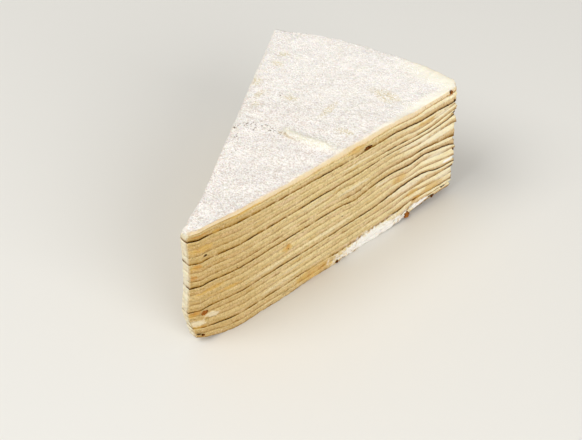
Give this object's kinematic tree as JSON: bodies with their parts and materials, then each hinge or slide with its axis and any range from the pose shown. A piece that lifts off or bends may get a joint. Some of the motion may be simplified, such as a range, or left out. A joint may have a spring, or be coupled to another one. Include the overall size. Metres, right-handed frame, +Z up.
{
  "type": "crepe cake slice",
  "caption": "Wedge-shaped slice of mille crepe cake, thin browned crepes with pastry cream between them, dusted with icing sugar.",
  "frame": {"origin": "middle of the slice's bounding box, on the plane that it stands on", "axes": "+Z up through the layers; +Y from the blunt tip to the rim of the cake; +X to the cut face on the right as seen from the tip"},
  "size_m": [0.0618, 0.0976, 0.0413],
  "materials": {
    "crepe": "cut edge of a soft pancake, pale tan with a browned underside",
    "cream": "moist pastry cream, satin",
    "sugared_crepe": "matt dusting of icing sugar over a pale crepe"
  },
  "bodies": {
    "root": {"crepe_01": "crepe", "crepe_02": "crepe", "crepe_03": "crepe", "crepe_04": "crepe", "crepe_05": "crepe", "crepe_06": "crepe", "crepe_07": "crepe", "crepe_08": "crepe", "crepe_09": "crepe", "crepe_10": "crepe", "crepe_11": "crepe", "crepe_12": "crepe", "crepe_13": "crepe", "crepe_14": "crepe", "crepe_15": "crepe", "crepe_16": "sugared_crepe", "cream_01": "cream", "cream_02": "cream", "cream_03": "cream", "cream_04": "cream", "cream_05": "cream", "cream_06": "cream", "cream_07": "cream", "cream_08": "cream", "cream_09": "cream", "cream_10": "cream", "cream_11": "cream", "cream_12": "cream", "cream_13": "cream", "cream_14": "cream", "cream_15": "cream"}
  },
  "joints": []
}
